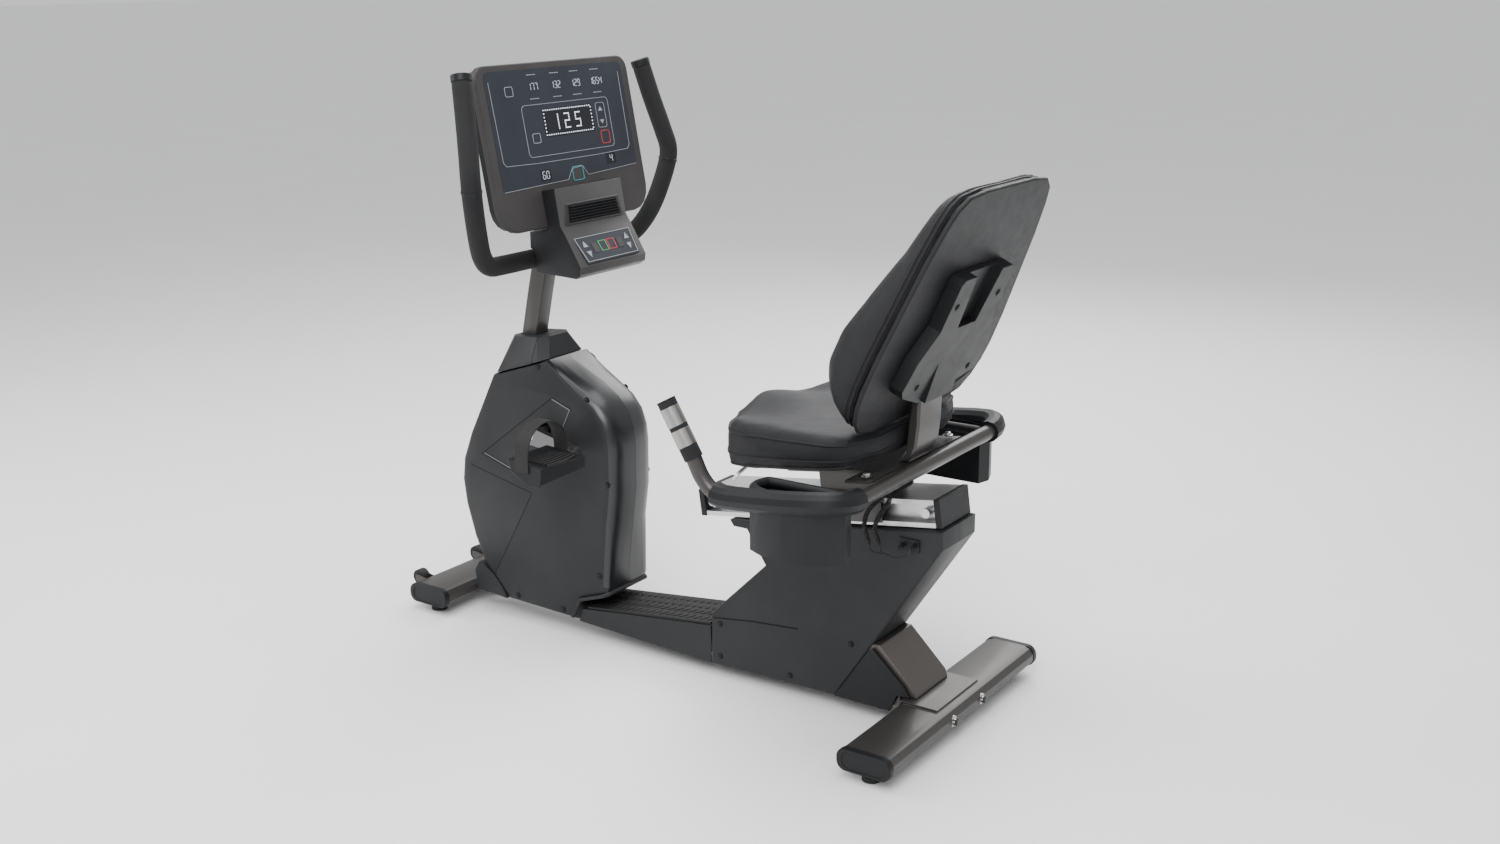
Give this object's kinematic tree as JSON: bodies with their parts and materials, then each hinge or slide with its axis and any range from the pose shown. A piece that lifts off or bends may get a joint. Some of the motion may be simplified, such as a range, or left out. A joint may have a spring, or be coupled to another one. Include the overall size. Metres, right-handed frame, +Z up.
{
  "type": "recumbent exercise bike",
  "caption": "Recumbent exercise bike with a padded sliding seat, side handles, shrouded drive, strapped pedals, a wrap-round handlebar and a display console.",
  "frame": {"origin": "on the floor, at the middle of the bike's length and width", "axes": "X runs along the bike from the console to the backrest, Y runs across it toward the rider's right, and Z is up"},
  "size_m": [1.5352, 0.745, 1.3141],
  "materials": {
    "gunmetal_paint": "semi-gloss gunmetal",
    "charcoal_plastic": "matte charcoal with glossy rims",
    "gloss_black_plastic": "gloss black",
    "black_plastic": "fine-grained black",
    "beam_cover_plastic": "matte charcoal",
    "tread_rubber": "ribbed black rubber",
    "black_rubber": "matte black",
    "grip_foam": "soft black foam",
    "black_vinyl": "black vinyl, lightly grained",
    "backrest_vinyl": "black vinyl, lightly grained",
    "brushed_aluminium": "brushed along its length",
    "machined_steel": "machined",
    "crank_steel": "dark satin",
    "cast_iron_paint": "turned and painted",
    "console_face": "matte warm grey with a printed face",
    "console_back_plastic": "matte black",
    "pod_plastic": "satin grey with black sides",
    "belt_rubber": "ribbed",
    "magnet_carrier": "black oxide",
    "cord_sleeve": "satin black",
    "pedal_plastic": "matte black",
    "strap_rubber": "ribbed grey-black",
    "cup_holder_plastic": "satin black",
    "lever_steel": "plated",
    "wheel_plastic": "matte black",
    "tube_paint": "black powder coat, with foam grips and steel plates"
  },
  "bodies": {
    "frame": {"main_frame": "gunmetal_paint", "rear_leg": "gunmetal_paint", "front_stabilizer": "gunmetal_paint", "rear_stabilizer": "gunmetal_paint", "shroud_left": "charcoal_plastic", "shroud_right": "charcoal_plastic", "neck_cover_front": "charcoal_plastic", "neck_cover_rear": "charcoal_plastic", "beam_cover": "beam_cover_plastic", "step_plate": "tread_rubber", "rear_shroud_left": "charcoal_plastic", "rear_shroud_right": "charcoal_plastic", "leg_cover_left": "gunmetal_paint", "leg_cover_right": "gunmetal_paint", "console_post": "gunmetal_paint", "console_bezel": "console_face", "console_back": "console_back_plastic", "console_pod": "pod_plastic", "handlebar": "grip_foam", "seat_rail": "brushed_aluminium", "rail_cap_front": "black_plastic", "rail_cap_rear": "black_plastic", "brake_magnets": "magnet_carrier", "drive_belt": "belt_rubber", "cord_sockets": "black_plastic", "cord_lead_front": "cord_sleeve", "cord_lead_rear": "cord_sleeve"},
    "flywheel": {"flywheel": "cast_iron_paint"},
    "crank": {"crank_axle": "machined_steel", "drive_pulley": "black_plastic", "crank_arm_left": "crank_steel", "crank_arm_right": "crank_steel"},
    "pedal_left": {"pedal_left": "pedal_plastic", "pedal_strap_left": "strap_rubber"},
    "pedal_right": {"pedal_right": "pedal_plastic", "pedal_strap_right": "strap_rubber"},
    "seat": {"seat_carriage": "gunmetal_paint", "seat_tube": "tube_paint", "cup_holder_left": "cup_holder_plastic", "cup_holder_right": "cup_holder_plastic", "seat_cushion": "black_vinyl", "backrest_shell": "gloss_black_plastic", "backrest_pad": "backrest_vinyl", "backrest_cover": "black_plastic", "backrest_post": "gunmetal_paint", "curly_cord_front": "cord_sleeve", "curly_cord_rear": "cord_sleeve"},
    "lever": {"seat_lever": "lever_steel"},
    "roller_front_left": {"seat_roller_front_left": "wheel_plastic"},
    "roller_front_right": {"seat_roller_front_right": "wheel_plastic"},
    "roller_rear_left": {"seat_roller_rear_left": "wheel_plastic"},
    "roller_rear_right": {"seat_roller_rear_right": "wheel_plastic"},
    "wheel_left": {"transport_wheel_left": "wheel_plastic"},
    "wheel_right": {"transport_wheel_right": "wheel_plastic"},
    "foot_front_left": {"levelling_foot_front_left": "black_rubber"},
    "foot_front_right": {"levelling_foot_front_right": "black_rubber"},
    "foot_rear_left": {"levelling_foot_rear_left": "black_rubber"},
    "foot_rear_right": {"levelling_foot_rear_right": "black_rubber"}
  },
  "joints": [
    {"name": "flywheel_spin", "type": "hinge", "parent": "frame", "child": "flywheel", "pos_m": [-0.2846, 0, 0.258], "axis": [0, 1, 0], "continuous": true},
    {"name": "crank_spin", "type": "hinge", "parent": "frame", "child": "crank", "pos_m": [-0.3496, 0, 0.49], "axis": [0, 1, 0], "continuous": true},
    {"name": "pedal_left_spin", "type": "hinge", "parent": "crank", "child": "pedal_left", "pos_m": [-0.2262, -0.2075, 0.47], "axis": [0, 1, 0], "continuous": true},
    {"name": "pedal_right_spin", "type": "hinge", "parent": "crank", "child": "pedal_right", "pos_m": [-0.473, 0.2075, 0.51], "axis": [0, 1, 0], "continuous": true},
    {"name": "seat_slide", "type": "slide", "parent": "frame", "child": "seat", "axis": [0.9905, 0, 0.1374], "range_m": [-0.25, 0.04], "deforming": ["curly_cord_front", "curly_cord_rear"]},
    {"name": "seat_lever_lift", "type": "hinge", "parent": "seat", "child": "lever", "pos_m": [0.3354, -0.09, 0.524], "axis": [0, 1, 0], "range_deg": [0, 12], "stiffness_Nm_per_rad": 0.6, "springref_deg": -2.86},
    {"name": "roller_front_left_spin", "type": "hinge", "parent": "seat", "child": "roller_front_left", "pos_m": [0.40312, -0.0535, 0.43862], "axis": [0, 1, 0], "range_deg": [-815, 140]},
    {"name": "roller_front_right_spin", "type": "hinge", "parent": "seat", "child": "roller_front_right", "pos_m": [0.40312, 0.0535, 0.43862], "axis": [0, 1, 0], "range_deg": [-815, 140]},
    {"name": "roller_rear_left_spin", "type": "hinge", "parent": "seat", "child": "roller_rear_left", "pos_m": [0.51405, -0.0535, 0.45402], "axis": [0, 1, 0], "range_deg": [-815, 140]},
    {"name": "roller_rear_right_spin", "type": "hinge", "parent": "seat", "child": "roller_rear_right", "pos_m": [0.51405, 0.0535, 0.45402], "axis": [0, 1, 0], "range_deg": [-815, 140]},
    {"name": "wheel_left_spin", "type": "hinge", "parent": "frame", "child": "wheel_left", "pos_m": [-0.7486, -0.1, 0.0605], "axis": [0, 1, 0], "continuous": true},
    {"name": "wheel_right_spin", "type": "hinge", "parent": "frame", "child": "wheel_right", "pos_m": [-0.7486, 0.1, 0.0605], "axis": [0, 1, 0], "continuous": true},
    {"name": "foot_front_left_turn", "type": "hinge", "parent": "frame", "child": "foot_front_left", "pos_m": [-0.6706, -0.122, 0.01], "axis": [0, 0, 1], "continuous": true},
    {"name": "foot_front_right_turn", "type": "hinge", "parent": "frame", "child": "foot_front_right", "pos_m": [-0.6706, 0.122, 0.01], "axis": [0, 0, 1], "continuous": true},
    {"name": "foot_rear_left_turn", "type": "hinge", "parent": "frame", "child": "foot_rear_left", "pos_m": [0.6484, -0.29, 0.01], "axis": [0, 0, 1], "continuous": true},
    {"name": "foot_rear_right_turn", "type": "hinge", "parent": "frame", "child": "foot_rear_right", "pos_m": [0.6484, 0.29, 0.01], "axis": [0, 0, 1], "continuous": true}
  ],
  "couplings": [
    {"joint": "crank_spin", "follows": "flywheel_spin", "ratio": 0.1356},
    {"joint": "roller_front_left_spin", "follows": "seat_slide", "rad_per_m": 56.18},
    {"joint": "roller_front_right_spin", "follows": "seat_slide", "rad_per_m": 56.18},
    {"joint": "roller_rear_left_spin", "follows": "seat_slide", "rad_per_m": 56.18},
    {"joint": "roller_rear_right_spin", "follows": "seat_slide", "rad_per_m": 56.18}
  ]
}
